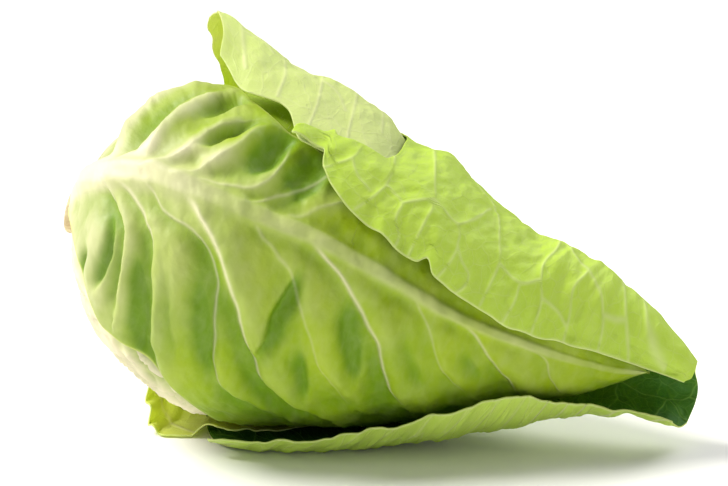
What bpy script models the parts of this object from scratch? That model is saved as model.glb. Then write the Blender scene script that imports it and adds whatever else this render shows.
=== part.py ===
"""Pointed cabbage head, lying on its side: stem end at -X, tip at +X, resting on z = 0.

Every leaf is a sheet laid over one teardrop. A place on the teardrop is given by
(station, angle, lift): station runs 0 at the stem to 1 at the head's tip and a little
beyond it, angle goes round the head from the front (0) over the top (90) and down the
back (180), and lift is how far the sheet's middle stands off the teardrop.
"""
import math

import bmesh
import bpy
from mathutils import Vector

# Overall sizes, metres
HEAD_LENGTH = 0.243
HEAD_RADIUS = 0.067
WIDEST_STATION = 0.30
TAPER_POWER = 1.55
AXIS_SLOPE = math.radians(14.2)

# Leaves, metres
HEAD_LEAF = 0.0010
FRONT_LEAF = 0.0014
WRAPPER_LEAF = 0.0010
HOOD_LEAF = 0.0012
LEAF_GAP = 0.0008
WRAPPER_GAP = 0.0014
HEART_CLEARANCE = 0.0011
FLAT_SPOT_SAG = 0.0010
SPOT_CLEARANCE = 0.0012

# How far the loose parts of the wrapper leaves stand off the head, metres
HOOD_RIDGE = 0.0165
HOOD_TIP_RADIUS = 0.0150
STRIP_LIFT = 0.0100
COLLAR_HEIGHT = 0.0270
RUFFLE_LIFT = 0.0110

# Stem stump, metres
STUMP_RADIUS = 0.0115
STUMP_OUT = 0.0006
STUMP_GAP = 0.0004
STUMP_WEAR = 0.0010
ROOT_CLEARANCE = 0.0015

# Every leaf leaves the stem on a circle round the stump
LEAF_ROOT_RADIUS = STUMP_RADIUS + ROOT_CLEARANCE

# Stations where the head leaves and the heart end, short of the head's tip at 1
FRONT_LEAF_END = 0.985
BACK_LEAF_END = 0.93
HEART_END = 0.955

# The teardrop's arc is split between the round end and the taper
ROUND_END_SHARE = 0.37

# Middles of the leaf layers, built outward and inward from the head's outer face
FRONT_LIFT = -FRONT_LEAF / 2
LOWER_HEAD_LIFT = -FRONT_LEAF - LEAF_GAP - HEAD_LEAF / 2
BACK_HEAD_LIFT = LOWER_HEAD_LIFT - HEAD_LEAF - LEAF_GAP
HEART_LIFT = BACK_HEAD_LIFT - HEAD_LEAF / 2 - HEART_CLEARANCE
LOWER_WRAPPER_LIFT = LEAF_GAP + WRAPPER_LEAF / 2
UPPER_WRAPPER_LIFT = LOWER_WRAPPER_LIFT + WRAPPER_LEAF + WRAPPER_GAP
HOOD_LIFT = UPPER_WRAPPER_LIFT + WRAPPER_LEAF / 2 + WRAPPER_GAP + HOOD_LEAF / 2
HOOD_UNDER_LIFT = LOWER_WRAPPER_LIFT + WRAPPER_LEAF / 2 + WRAPPER_GAP + SPOT_CLEARANCE + HOOD_LEAF / 2

ALONG = Vector((math.cos(AXIS_SLOPE), 0.0, -math.sin(AXIS_SLOPE)))
UP = Vector((math.sin(AXIS_SLOPE), 0.0, math.cos(AXIS_SLOPE)))
FRONT = Vector((0.0, -1.0, 0.0))


def clear_scene():
    for obj in list(bpy.data.objects):
        bpy.data.objects.remove(obj, do_unlink=True)


def smooth(x):
    x = min(max(x, 0.0), 1.0)
    return x * x * (3.0 - 2.0 * x)


def through(points, x):
    """A smooth value through (x, value) pairs."""
    if x <= points[0][0]:
        return points[0][1]
    for (x0, y0), (x1, y1) in zip(points, points[1:]):
        if x <= x1:
            return y0 + (y1 - y0) * smooth((x - x0) / (x1 - x0))
    return points[-1][1]


def radius(station):
    if station < WIDEST_STATION:
        back = (WIDEST_STATION - max(station, 0.0)) / WIDEST_STATION
        return HEAD_RADIUS * math.sqrt(max(1.0 - back * back, 0.0))
    ahead = min((station - WIDEST_STATION) / (1.0 - WIDEST_STATION), 1.0)
    return HEAD_RADIUS * (1.0 - ahead**TAPER_POWER)


def outward(station):
    """(along, away) parts of the direction that lift is measured in."""
    step = 1e-4
    before = max(station - step, 0.0)
    rise = (radius(station + step) - radius(before)) / (station + step - before)
    lean = -rise * smooth((0.9 - station) / 0.4)
    size = math.hypot(lean, HEAD_LENGTH)
    return lean / size, HEAD_LENGTH / size


def stem_height():
    """Height of the axis at the stem that leaves the flat spot's sag below z = 0."""
    lowest = 0.0
    for i in range(201):
        station = 0.2 + 0.5 * i / 200
        lean, away = outward(station)
        lift = HOOD_UNDER_LIFT + HOOD_LEAF / 2
        along = station * HEAD_LENGTH + lift * lean
        out = radius(station) + lift * away
        lowest = min(lowest, along * ALONG.z - out * UP.z)
    return -lowest - FLAT_SPOT_SAG


STEM_POINT = Vector((0.0, 0.0, stem_height()))


def place(station, angle, lift):
    lean, away = outward(station)
    turn = math.radians(angle)
    out = radius(station) + lift * away
    along = station * HEAD_LENGTH + lift * lean
    return STEM_POINT + ALONG * along + (FRONT * math.cos(turn) + UP * math.sin(turn)) * out


def arc_of(station):
    """Share of the teardrop's arc covered at this station."""
    if station < WIDEST_STATION:
        return ROUND_END_SHARE * math.acos(1.0 - max(station, 0.0) / WIDEST_STATION) / (math.pi / 2)
    ahead = (station - WIDEST_STATION) / (1.0 - WIDEST_STATION)
    return ROUND_END_SHARE + (1.0 - ROUND_END_SHARE) * ahead


def station_of(arc):
    if arc < ROUND_END_SHARE:
        return WIDEST_STATION * (1.0 - math.cos(arc / ROUND_END_SHARE * math.pi / 2))
    ahead = (arc - ROUND_END_SHARE) / (1.0 - ROUND_END_SHARE)
    return WIDEST_STATION + (1.0 - WIDEST_STATION) * ahead


def root_station(layer_lift):
    """Station where a leaf of this layer leaves the stem."""
    root = (LEAF_ROOT_RADIUS + max(layer_lift, 0.0)) / HEAD_RADIUS
    return WIDEST_STATION * (1.0 - math.sqrt(1.0 - root * root))


def material(name, colour, roughness):
    made = bpy.data.materials.new(name)
    made.use_nodes = True
    shader = made.node_tree.nodes["Principled BSDF"]
    shader.inputs["Base Color"].default_value = (*colour, 1.0)
    shader.inputs["Roughness"].default_value = roughness
    return made


def finish(obj, name, colour, roughness):
    obj.data.materials.append(material(name + "_surface", colour, roughness))
    cabbage.objects.link(obj)


def leaf(name, sheet, across, along, thickness, colour):
    """A solid leaf over sheet(q, v), with q from one margin to the other and v from base to tip."""
    mesh = bpy.data.meshes.new(name)
    grid = bmesh.new()
    bmesh.ops.create_grid(grid, x_segments=across, y_segments=along, size=0.5)
    for vertex in grid.verts:
        point = sheet(vertex.co.x + 0.5, vertex.co.y + 0.5)
        point.z = max(point.z, thickness / 2)
        vertex.co = point
    grid.to_mesh(mesh)
    grid.free()
    obj = bpy.data.objects.new(name, mesh)
    solid = obj.modifiers.new("thickness", "SOLIDIFY")
    solid.thickness = thickness
    solid.offset = 0.0
    solid.use_even_offset = False
    solid.use_rim = True
    finish(obj, name, colour, 0.5)


def between(start, end, v):
    """Station at v, evenly spread over the arc from start to end."""
    return station_of(arc_of(start) + (arc_of(end) - arc_of(start)) * v)


# Front head leaf: midrib a little above the middle of the front
FRONT_LOWER = [(0.0, 10), (0.08, -12), (0.15, -31), (0.23, -33), (0.30, -48), (0.36, -72),
               (0.45, -95), (0.90, -100), (1.0, -70)]
FRONT_UPPER = [(0.0, 62), (0.08, 95), (0.20, 98), (0.27, 76), (0.36, 63), (0.45, 60),
               (0.60, 72), (0.90, 85), (1.0, 60)]


def front_head_leaf(q, v):
    station = between(root_station(0.0), FRONT_LEAF_END, v)
    low = through(FRONT_LOWER, station)
    angle = low + (through(FRONT_UPPER, station) - low) * q
    return place(station, angle, FRONT_LIFT)


def back_head_leaf(q, v):
    station = between(root_station(0.0), BACK_LEAF_END, v)
    return place(station, 25 + 225 * q, BACK_HEAD_LIFT)


def lower_head_leaf(q, v):
    end = 0.60 - 0.12 * (2 * q - 1) ** 2
    station = between(root_station(0.0), end, v)
    low = through([(0.0, -75), (0.2, -150), (0.6, -140)], station)
    high = through([(0.0, 8), (0.15, -5), (0.6, -15)], station)
    return place(station, low + (high - low) * q, LOWER_HEAD_LIFT)


# Lower wrapper leaf: midrib underneath, loose ruffled margin low at the front
def lower_wrapper_leaf(q, v):
    end = 0.62 - 0.20 * (2 * q - 1) ** 2
    station = between(root_station(LOWER_WRAPPER_LIFT), end, v)
    high = through([(0.0, -112), (0.13, -100), (0.19, -82), (0.26, -70), (0.34, -68), (0.62, -84)], station)
    low = through([(0.0, -128), (0.2, -172), (0.62, -150)], station)
    angle = low + (high - low) * q
    loose = smooth((q - 0.62) / 0.38)
    stand = through([(0.14, 0.0), (0.20, 0.8), (0.25, 1.0), (0.29, 0.3), (0.32, 0.0)], station)
    wave = 1.0 + 0.22 * math.sin(station * 95.0)
    return place(station, angle, LOWER_WRAPPER_LIFT + RUFFLE_LIFT * loose * stand * wave)


# Upper wrapper leaf: its near margin stands up from the head as a rolled collar
def upper_wrapper_leaf(q, v):
    start = through([(0.0, 0.207), (0.10, 0.192), (0.22, 0.184), (0.32, 0.16), (0.5, 0.02)], q)
    start = max(start, root_station(UPPER_WRAPPER_LIFT))
    end = through([(0.0, 0.50), (0.5, 0.62), (1.0, 0.50)], q)
    station = between(start, end, v)
    near = through([(0.19, 88), (0.26, 74), (0.34, 73), (0.50, 82)], station)
    far = through([(0.0, 178), (0.15, 205), (0.6, 205)], station)
    angle = near + (far - near) * q
    height = through([(0.15, 1.0), (0.19, 1.0), (0.24, 0.62), (0.31, 0.30), (0.42, 0.26),
                      (0.48, 0.04), (0.5, 0.0)], station)
    rise_from = max(near - 4, through([(0.25, 0), (0.36, 84)], station))
    foot = through([(0.30, 126), (0.42, 112)], station)
    ridge = smooth((angle - rise_from) / (98 - rise_from)) * smooth((foot - angle) / (foot - 98))
    near_lift = 0.30 * smooth((0.25 - station) / 0.06) * smooth((near + 12 - angle) / 12)
    return place(station, angle, UPPER_WRAPPER_LIFT + COLLAR_HEIGHT * (height * ridge + near_lift))


# Hood wrapper leaf: midrib down the back, upper half folded forward over the head,
# lower half passing underneath and curling up in front
HOOD_NEAR = [(0.34, 59), (0.405, 58), (0.415, 51), (0.465, 42), (0.565, 32), (0.67, 23.5),
             (0.77, 18), (0.86, 20), (0.93, 22), (1.00, 20), (1.09, 12)]
HOOD_FAR = [(0.0, 236), (0.22, 244), (0.37, 299), (0.45, 306), (0.62, 314), (0.80, 326),
            (0.86, 320), (0.93, 308), (1.0, 292), (1.09, 235)]
HOOD_START = [(0.0, 0.352), (0.03, 0.356), (0.07, 0.39), (0.10, 0.43), (0.14, 0.49),
              (0.21, 0.505), (0.28, 0.44), (0.39, 0.24), (0.49, 0.05), (0.56, 0.0),
              (0.72, 0.0), (0.87, 0.12), (1.0, 0.33)]
HOOD_END = [(0.0, 1.078), (0.55, 1.076), (0.80, 1.05), (1.0, 1.0)]
RIDGE_HEIGHT = [(0.50, 0.0), (0.53, 0.12), (0.57, 0.28), (0.65, 0.05), (0.73, 0.05), (0.81, 0.45),
                (0.89, 0.76), (0.96, 0.76), (1.01, 0.52), (1.05, 0.16), (1.08, 0.0)]


def hood_wrapper_leaf(q, v):
    start = max(through(HOOD_START, q), root_station(HOOD_LIFT))
    station = between(start, through(HOOD_END, q), v)
    near = through(HOOD_NEAR, station)
    far = through(HOOD_FAR, station)
    angle = near + (far - near) * q
    under = smooth((angle - 205) / 40)
    lift = HOOD_LIFT + (HOOD_UNDER_LIFT - HOOD_LIFT) * under
    ridge = smooth((angle - near) / (100 - near)) * smooth((150 - angle) / 50)
    lift += HOOD_RIDGE * through(RIDGE_HEIGHT, station) * ridge
    curl = smooth((angle - 262) / 26)
    flare = through([(0.25, 0.2), (0.35, 0.9), (0.5, 1.0), (0.62, 0.75), (0.80, 0.70), (1.0, 0.9)], station)
    lift += (STRIP_LIFT - HOOD_UNDER_LIFT) * curl * flare
    closing = smooth((station - 1.0) / 0.08) * smooth((215 - angle) / 80)
    hollow = smooth((station - 0.86) / 0.16) * (1.0 - 0.85 * closing)
    room = smooth((angle - near) / 60) * (1.0 - 0.3 * curl)
    lift += (HOOD_TIP_RADIUS - HOOD_LIFT) * hollow * max(room, 0.35) * (1.0 - 0.8 * ridge)
    return place(station, angle, lift)


def heart():
    """The tightly packed inner leaves, as one turned body."""
    mesh = bpy.data.meshes.new("heart")
    profile = bmesh.new()
    rings = 30
    ring = []
    for i in range(rings + 1):
        station = station_of(arc_of(HEART_END) * i / rings)
        lean, away = outward(station)
        out = radius(station) + HEART_LIFT * away
        along = station * HEAD_LENGTH + HEART_LIFT * lean
        if i == 0 or i == rings:
            out = 0.0
        ring.append(profile.verts.new((out, 0.0, along)))
    for first, second in zip(ring, ring[1:]):
        profile.edges.new((first, second))
    profile.to_mesh(mesh)
    profile.free()
    obj = bpy.data.objects.new("heart", mesh)
    turned = obj.modifiers.new("turned", "SCREW")
    turned.axis = "Z"
    turned.steps = 36
    turned.render_steps = 36
    turned.use_merge_vertices = True
    turned.merge_threshold = 0.00001
    turned.use_normal_calculate = True
    lay_on_axis(obj)
    finish(obj, "heart", (0.72, 0.76, 0.36), 0.55)


def lay_on_axis(obj):
    obj.rotation_euler = (0.0, math.pi / 2 + AXIS_SLOPE, 0.0)
    obj.location = STEM_POINT


def stem_stump():
    inner = -HEART_LIFT - STUMP_GAP
    mesh = bpy.data.meshes.new("stem_stump")
    stump = bmesh.new()
    bmesh.ops.create_cone(stump, cap_ends=True, segments=32, radius1=STUMP_RADIUS,
                          radius2=STUMP_RADIUS, depth=STUMP_OUT + inner)
    bmesh.ops.translate(stump, verts=stump.verts, vec=(0.0, 0.0, (inner - STUMP_OUT) / 2))
    stump.to_mesh(mesh)
    stump.free()
    obj = bpy.data.objects.new("stem_stump", mesh)
    bevel = obj.modifiers.new("worn_edge", "BEVEL")
    bevel.width = STUMP_WEAR
    bevel.segments = 2
    lay_on_axis(obj)
    finish(obj, "stem_stump", (0.62, 0.50, 0.30), 0.7)


clear_scene()
cabbage = bpy.data.collections.new("cabbage_head")
bpy.context.scene.collection.children.link(cabbage)

stem_stump()
heart()
leaf("back_head_leaf", back_head_leaf, 22, 18, HEAD_LEAF, (0.38, 0.58, 0.10))
leaf("lower_head_leaf", lower_head_leaf, 16, 14, HEAD_LEAF, (0.55, 0.68, 0.25))
leaf("front_head_leaf", front_head_leaf, 24, 22, FRONT_LEAF, (0.36, 0.55, 0.08))
leaf("lower_wrapper_leaf", lower_wrapper_leaf, 20, 20, WRAPPER_LEAF, (0.50, 0.68, 0.16))
leaf("upper_wrapper_leaf", upper_wrapper_leaf, 28, 18, WRAPPER_LEAF, (0.46, 0.66, 0.14))
leaf("hood_wrapper_leaf", hood_wrapper_leaf, 46, 32, HOOD_LEAF, (0.34, 0.56, 0.10))


def centre_over_origin(objects):
    """Moves everything along X and Y so that the whole head's box is centred on the origin."""
    bpy.context.view_layer.update()
    graph = bpy.context.evaluated_depsgraph_get()
    corners = []
    for obj in objects:
        solid = obj.evaluated_get(graph)
        mesh = solid.to_mesh()
        corners += [solid.matrix_world @ vertex.co for vertex in mesh.vertices]
        solid.to_mesh_clear()
    middle = [(max(c[i] for c in corners) + min(c[i] for c in corners)) / 2 for i in range(2)]
    for obj in objects:
        obj.location -= Vector((middle[0], middle[1], 0.0))


centre_over_origin(cabbage.objects)
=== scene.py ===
import math

import bpy
import numpy as np
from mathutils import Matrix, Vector


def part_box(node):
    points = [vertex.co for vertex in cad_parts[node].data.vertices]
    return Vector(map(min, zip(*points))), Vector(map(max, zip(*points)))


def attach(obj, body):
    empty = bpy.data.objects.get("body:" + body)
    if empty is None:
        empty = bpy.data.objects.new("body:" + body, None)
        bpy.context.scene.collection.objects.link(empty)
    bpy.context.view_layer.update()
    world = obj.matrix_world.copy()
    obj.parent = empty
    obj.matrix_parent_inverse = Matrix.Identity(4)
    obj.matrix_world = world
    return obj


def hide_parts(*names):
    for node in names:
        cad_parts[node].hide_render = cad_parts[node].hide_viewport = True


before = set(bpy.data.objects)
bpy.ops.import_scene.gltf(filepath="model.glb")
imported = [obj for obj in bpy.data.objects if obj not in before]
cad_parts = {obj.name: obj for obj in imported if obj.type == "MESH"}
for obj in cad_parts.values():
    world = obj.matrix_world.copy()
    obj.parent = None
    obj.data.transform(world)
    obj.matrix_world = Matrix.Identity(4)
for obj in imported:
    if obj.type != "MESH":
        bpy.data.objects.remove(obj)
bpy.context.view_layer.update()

# ---------------------------------------------------------------------------
# The head's teardrop, in metres: the CAD leaves are laid over the same one. Here its end is soft,
# so that a leaf can run on past the tip.
# ---------------------------------------------------------------------------
LENGTH = 0.243
RADIUS = 0.067
WIDEST = 0.30
TAPER = 1.55
SLOPE = math.radians(14.2)
SOFT_END = 0.0035
ALONG = np.array([math.cos(SLOPE), 0.0, -math.sin(SLOPE)])
UP = np.array([math.sin(SLOPE), 0.0, math.cos(SLOPE)])
FRONT = np.array([0.0, -1.0, 0.0])

# The stump's middle lies on the axis, a little way in from the teardrop's end
STUMP_MIDDLE = 0.00255
stump_low, stump_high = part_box("stem_stump")
STEM = (np.array(stump_low) + np.array(stump_high)) / 2 - STUMP_MIDDLE * ALONG

# Middle of each leaf layer off the teardrop, metres, as in the CAD
FRONT_LIFT = -0.0007
LOWER_HEAD_LIFT = -0.0027
BACK_HEAD_LIFT = -0.0045
LOWER_WRAPPER_LIFT = 0.0013
UPPER_WRAPPER_LIFT = 0.0037
HOOD_LIFT = 0.0062
HOOD_UNDER_LIFT = 0.0050

# How far a sheet's outer face stands off the middle of its CAD leaf, and the heights kept under
# the front leaf
FRONT_FACE = 0.0007
BACK_FACE = 0.0016
UNDER_FRONT_LIFT = -0.0066
DEEPEST_LIFT = -0.0068

# Thickness of the sheets, and the least height of the two leaves that lie on the floor
HEAD_SHEET = 0.0008
WRAPPER_SHEET = 0.0006
LOWER_WRAPPER_FLOOR = 0.0006
HOOD_FLOOR = 0.0004

MM = 0.001
# Roughly how many millimetres one degree round the head and its whole length are
MM_PER_DEGREE = 1.1
MM_PER_LENGTH = 240

# Cells of the table behind the smooth noise
CELLS_U, CELLS_V = 97, 89


def smooth(x):
    """An ease from 0 at x = 0 to 1 at x = 1."""
    x = np.clip(x, 0.0, 1.0)
    return x * x * (3.0 - 2.0 * x)


def through(points, x):
    """A smooth curve through (x, value) pairs that doesn't overshoot between them."""
    xs = np.array([p[0] for p in points], float)
    ys = np.array([p[1] for p in points], float)
    x = np.clip(np.asarray(x, float), xs[0], xs[-1])
    step = np.diff(xs)
    rise = np.diff(ys) / step
    slope = np.zeros(len(xs))
    both = rise[:-1] * rise[1:] > 0
    slope[1:-1][both] = 2 * rise[:-1][both] * rise[1:][both] / (rise[:-1] + rise[1:])[both]
    i = np.clip(np.searchsorted(xs, x, side="right") - 1, 0, len(xs) - 2)
    h = step[i]
    t = (x - xs[i]) / h
    return (
        (1 + 2 * t) * (1 - t) ** 2 * ys[i]
        + t * (1 - t) ** 2 * h * slope[i]
        + t * t * (3 - 2 * t) * ys[i + 1]
        + t * t * (t - 1) * h * slope[i + 1]
    )


def radius(s):
    """The teardrop's radius at station s, where 0 is the stem and 1 the tip."""
    s = np.asarray(s, float)
    back = np.clip((WIDEST - np.maximum(s, 0.0)) / WIDEST, 0, 1)
    ahead = np.maximum((s - WIDEST) / (1.0 - WIDEST), 0)
    taper = RADIUS * (1.0 - ahead**TAPER)
    taper = 0.5 * (taper + np.sqrt(taper**2 + SOFT_END**2))
    return np.where(s < WIDEST, RADIUS * np.sqrt(1.0 - back**2), taper)


def outward(s):
    """The way out of the teardrop at station s, as (along, away), square to the axis at the tip."""
    e = 1e-4 + 0.045 * smooth((s - 0.10) / 0.15)
    before = np.maximum(s - e, 0.0)
    rise = (radius(s + e) - radius(before)) / (s + e - before)
    lean = -rise * smooth((0.9 - s) / 0.4)
    size = np.hypot(lean, LENGTH)
    return lean / size, LENGTH / size


def place(s, angle, lift):
    """Points at station s, angle in degrees (0 in front, 90 on top) and lift in metres."""
    lean, away = outward(s)
    turn = np.radians(angle)
    out = np.maximum(radius(s) + lift * away, 0.0003)
    along = s * LENGTH + lift * lean
    return (
        STEM
        + along[..., None] * ALONG
        + (out * np.cos(turn))[..., None] * FRONT
        + (out * np.sin(turn))[..., None] * UP
    )


ARC_S = np.linspace(0.0, 1.12, 2241)
ARC_MM = np.concatenate(
    [[0.0], np.cumsum(np.hypot(np.diff(ARC_S) * LENGTH, np.diff(radius(ARC_S))))]
) / MM


def arc(s):
    """Distance over the teardrop from the stem, in millimetres."""
    return np.interp(s, ARC_S, ARC_MM)


def station(mm):
    """The station that lies mm from the stem over the teardrop."""
    return np.interp(mm, ARC_MM, ARC_S)


def spread(start, end, v):
    """Stations at even steps over the teardrop from start to end."""
    a, b = arc(start), arc(end)
    return station(a + (b - a) * v)


def lattice(u, v, seed):
    """Smooth noise from -1 to 1 with features one unit across."""
    table = np.random.default_rng(seed).random((CELLS_U, CELLS_V)) * 2 - 1
    iu, iv = np.floor(u).astype(int), np.floor(v).astype(int)
    fu, fv = u - iu, v - iv
    fu = fu * fu * fu * (fu * (fu * 6 - 15) + 10)
    fv = fv * fv * fv * (fv * (fv * 6 - 15) + 10)
    a = table[iu % CELLS_U, iv % CELLS_V]
    b = table[(iu + 1) % CELLS_U, iv % CELLS_V]
    c = table[iu % CELLS_U, (iv + 1) % CELLS_V]
    d = table[(iu + 1) % CELLS_U, (iv + 1) % CELLS_V]
    return (a * (1 - fu) + b * fu) * (1 - fv) + (c * (1 - fu) + d * fu) * fv


def noise(x, y, size, seed, octaves=3):
    """Smooth noise with features of the given size, each further layer finer and weaker."""
    total, weight = 0.0, 0.0
    for i in range(octaves):
        k = 0.55**i
        total = total + k * lattice(x / size * 2**i + 31.7 * i, y / size * 2**i + 17.3 * i, seed + i)
        weight += k
    return total / weight * 1.6


def line_of(points, count=28):
    """A smooth run of stations and angles through the given (station, angle) points."""
    p = np.array(points, float)
    steps = np.hypot(np.diff(p[:, 0]) * MM_PER_LENGTH, np.diff(p[:, 1]) * MM_PER_DEGREE)
    t = np.concatenate([[0.0], np.cumsum(steps)])
    fine = np.linspace(0.0, t[-1], count)
    out = []
    for k in range(2):
        m = np.gradient(p[:, k], t)
        i = np.clip(np.searchsorted(t, fine, side="right") - 1, 0, len(t) - 2)
        h = t[i + 1] - t[i]
        x = (fine - t[i]) / h
        out.append(
            (1 + 2 * x) * (1 - x) ** 2 * p[i, k]
            + x * (1 - x) ** 2 * h * m[i]
            + x * x * (3 - 2 * x) * p[i + 1, k]
            + x * x * (x - 1) * h * m[i + 1]
        )
    return out


def reach(S, PHI, points):
    """(distance in mm, share along, signed side) of every place from the line through points."""
    ls, la = line_of(points)
    lx = arc(ls)
    x = arc(S)
    r = np.maximum(radius(S), 0.004) / MM
    best = np.full(S.shape, 1e9)
    share = np.zeros(S.shape)
    side = np.zeros(S.shape)
    n = len(lx) - 1
    for i in range(n):
        dx = lx[i + 1] - lx[i]
        ya, yb = np.radians(la[i]) * r, np.radians(la[i + 1]) * r
        px, py = x - lx[i], np.radians(PHI) * r - ya
        dy = yb - ya
        t = np.clip((px * dx + py * dy) / (dx * dx + dy * dy + 1e-9), 0, 1)
        qx, qy = px - t * dx, py - t * dy
        d = np.hypot(qx, qy)
        near = d < best
        best = np.where(near, d, best)
        share = np.where(near, (i + t) / n, share)
        side = np.where(near, np.sign(dx * qy - dy * qx), side)
    return best, share, side


# ---------------------------------------------------------------------------
# Meshes
# ---------------------------------------------------------------------------
def grid(rows, cols):
    """Shares from 0 to 1 along and across a leaf, for every point of its sheet."""
    return np.meshgrid(np.linspace(0, 1, rows), np.linspace(0, 1, cols), indexing="ij")


def sheet(name, node, points, fields, materials, thickness):
    """A leaf as one fine sheet with real thickness. points is rows x columns x 3.

    materials are those of the outer face, the inner face and the rim.
    """
    rows, cols = points.shape[:2]
    mesh = bpy.data.meshes.new(name)
    mesh.vertices.add(rows * cols)
    mesh.vertices.foreach_set("co", points.reshape(-1).astype(np.float32))
    i = np.arange(rows * cols).reshape(rows, cols)
    quads = np.stack([i[:-1, :-1], i[1:, :-1], i[1:, 1:], i[:-1, 1:]], -1).reshape(-1, 4)
    mesh.loops.add(quads.size)
    mesh.loops.foreach_set("vertex_index", quads.reshape(-1).astype(np.int32))
    mesh.polygons.add(len(quads))
    mesh.polygons.foreach_set("loop_start", np.arange(0, quads.size, 4, dtype=np.int32))
    mesh.update(calc_edges=True)
    mesh.validate()
    for key, values in fields.items():
        if values.ndim == 3:
            layer = mesh.attributes.new(key, "FLOAT_VECTOR", "POINT")
            layer.data.foreach_set("vector", values.reshape(-1).astype(np.float32))
        else:
            layer = mesh.attributes.new(key, "FLOAT", "POINT")
            layer.data.foreach_set("value", values.reshape(-1).astype(np.float32))
    mesh.polygons.foreach_set("use_smooth", np.ones(len(quads), bool))
    obj = bpy.data.objects.new(name, mesh)
    bpy.context.scene.collection.objects.link(obj)
    for m in materials:
        mesh.materials.append(m)
    solid = obj.modifiers.new("thickness", "SOLIDIFY")
    solid.thickness = thickness
    solid.offset = -1.0
    solid.use_rim = True
    solid.use_even_offset = False
    solid.material_offset = 1
    solid.material_offset_rim = 2
    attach(obj, "root")
    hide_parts(node)


def flat_place(S, PHI):
    """Where a point lies on the leaf spread flat, in metres: along and across."""
    return np.stack([arc(S) * MM, np.radians(PHI) * np.maximum(radius(S), 0.02), S * 0.0], -1)


# ---------------------------------------------------------------------------
# Materials
# ---------------------------------------------------------------------------
def colour(r, g, b):
    """Linear colour of an 8-bit screen colour."""
    out = []
    for c in (r, g, b):
        c = c / 255
        out.append(c / 12.92 if c <= 0.04045 else ((c + 0.055) / 1.055) ** 2.4)
    return (*out, 1.0)


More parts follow.
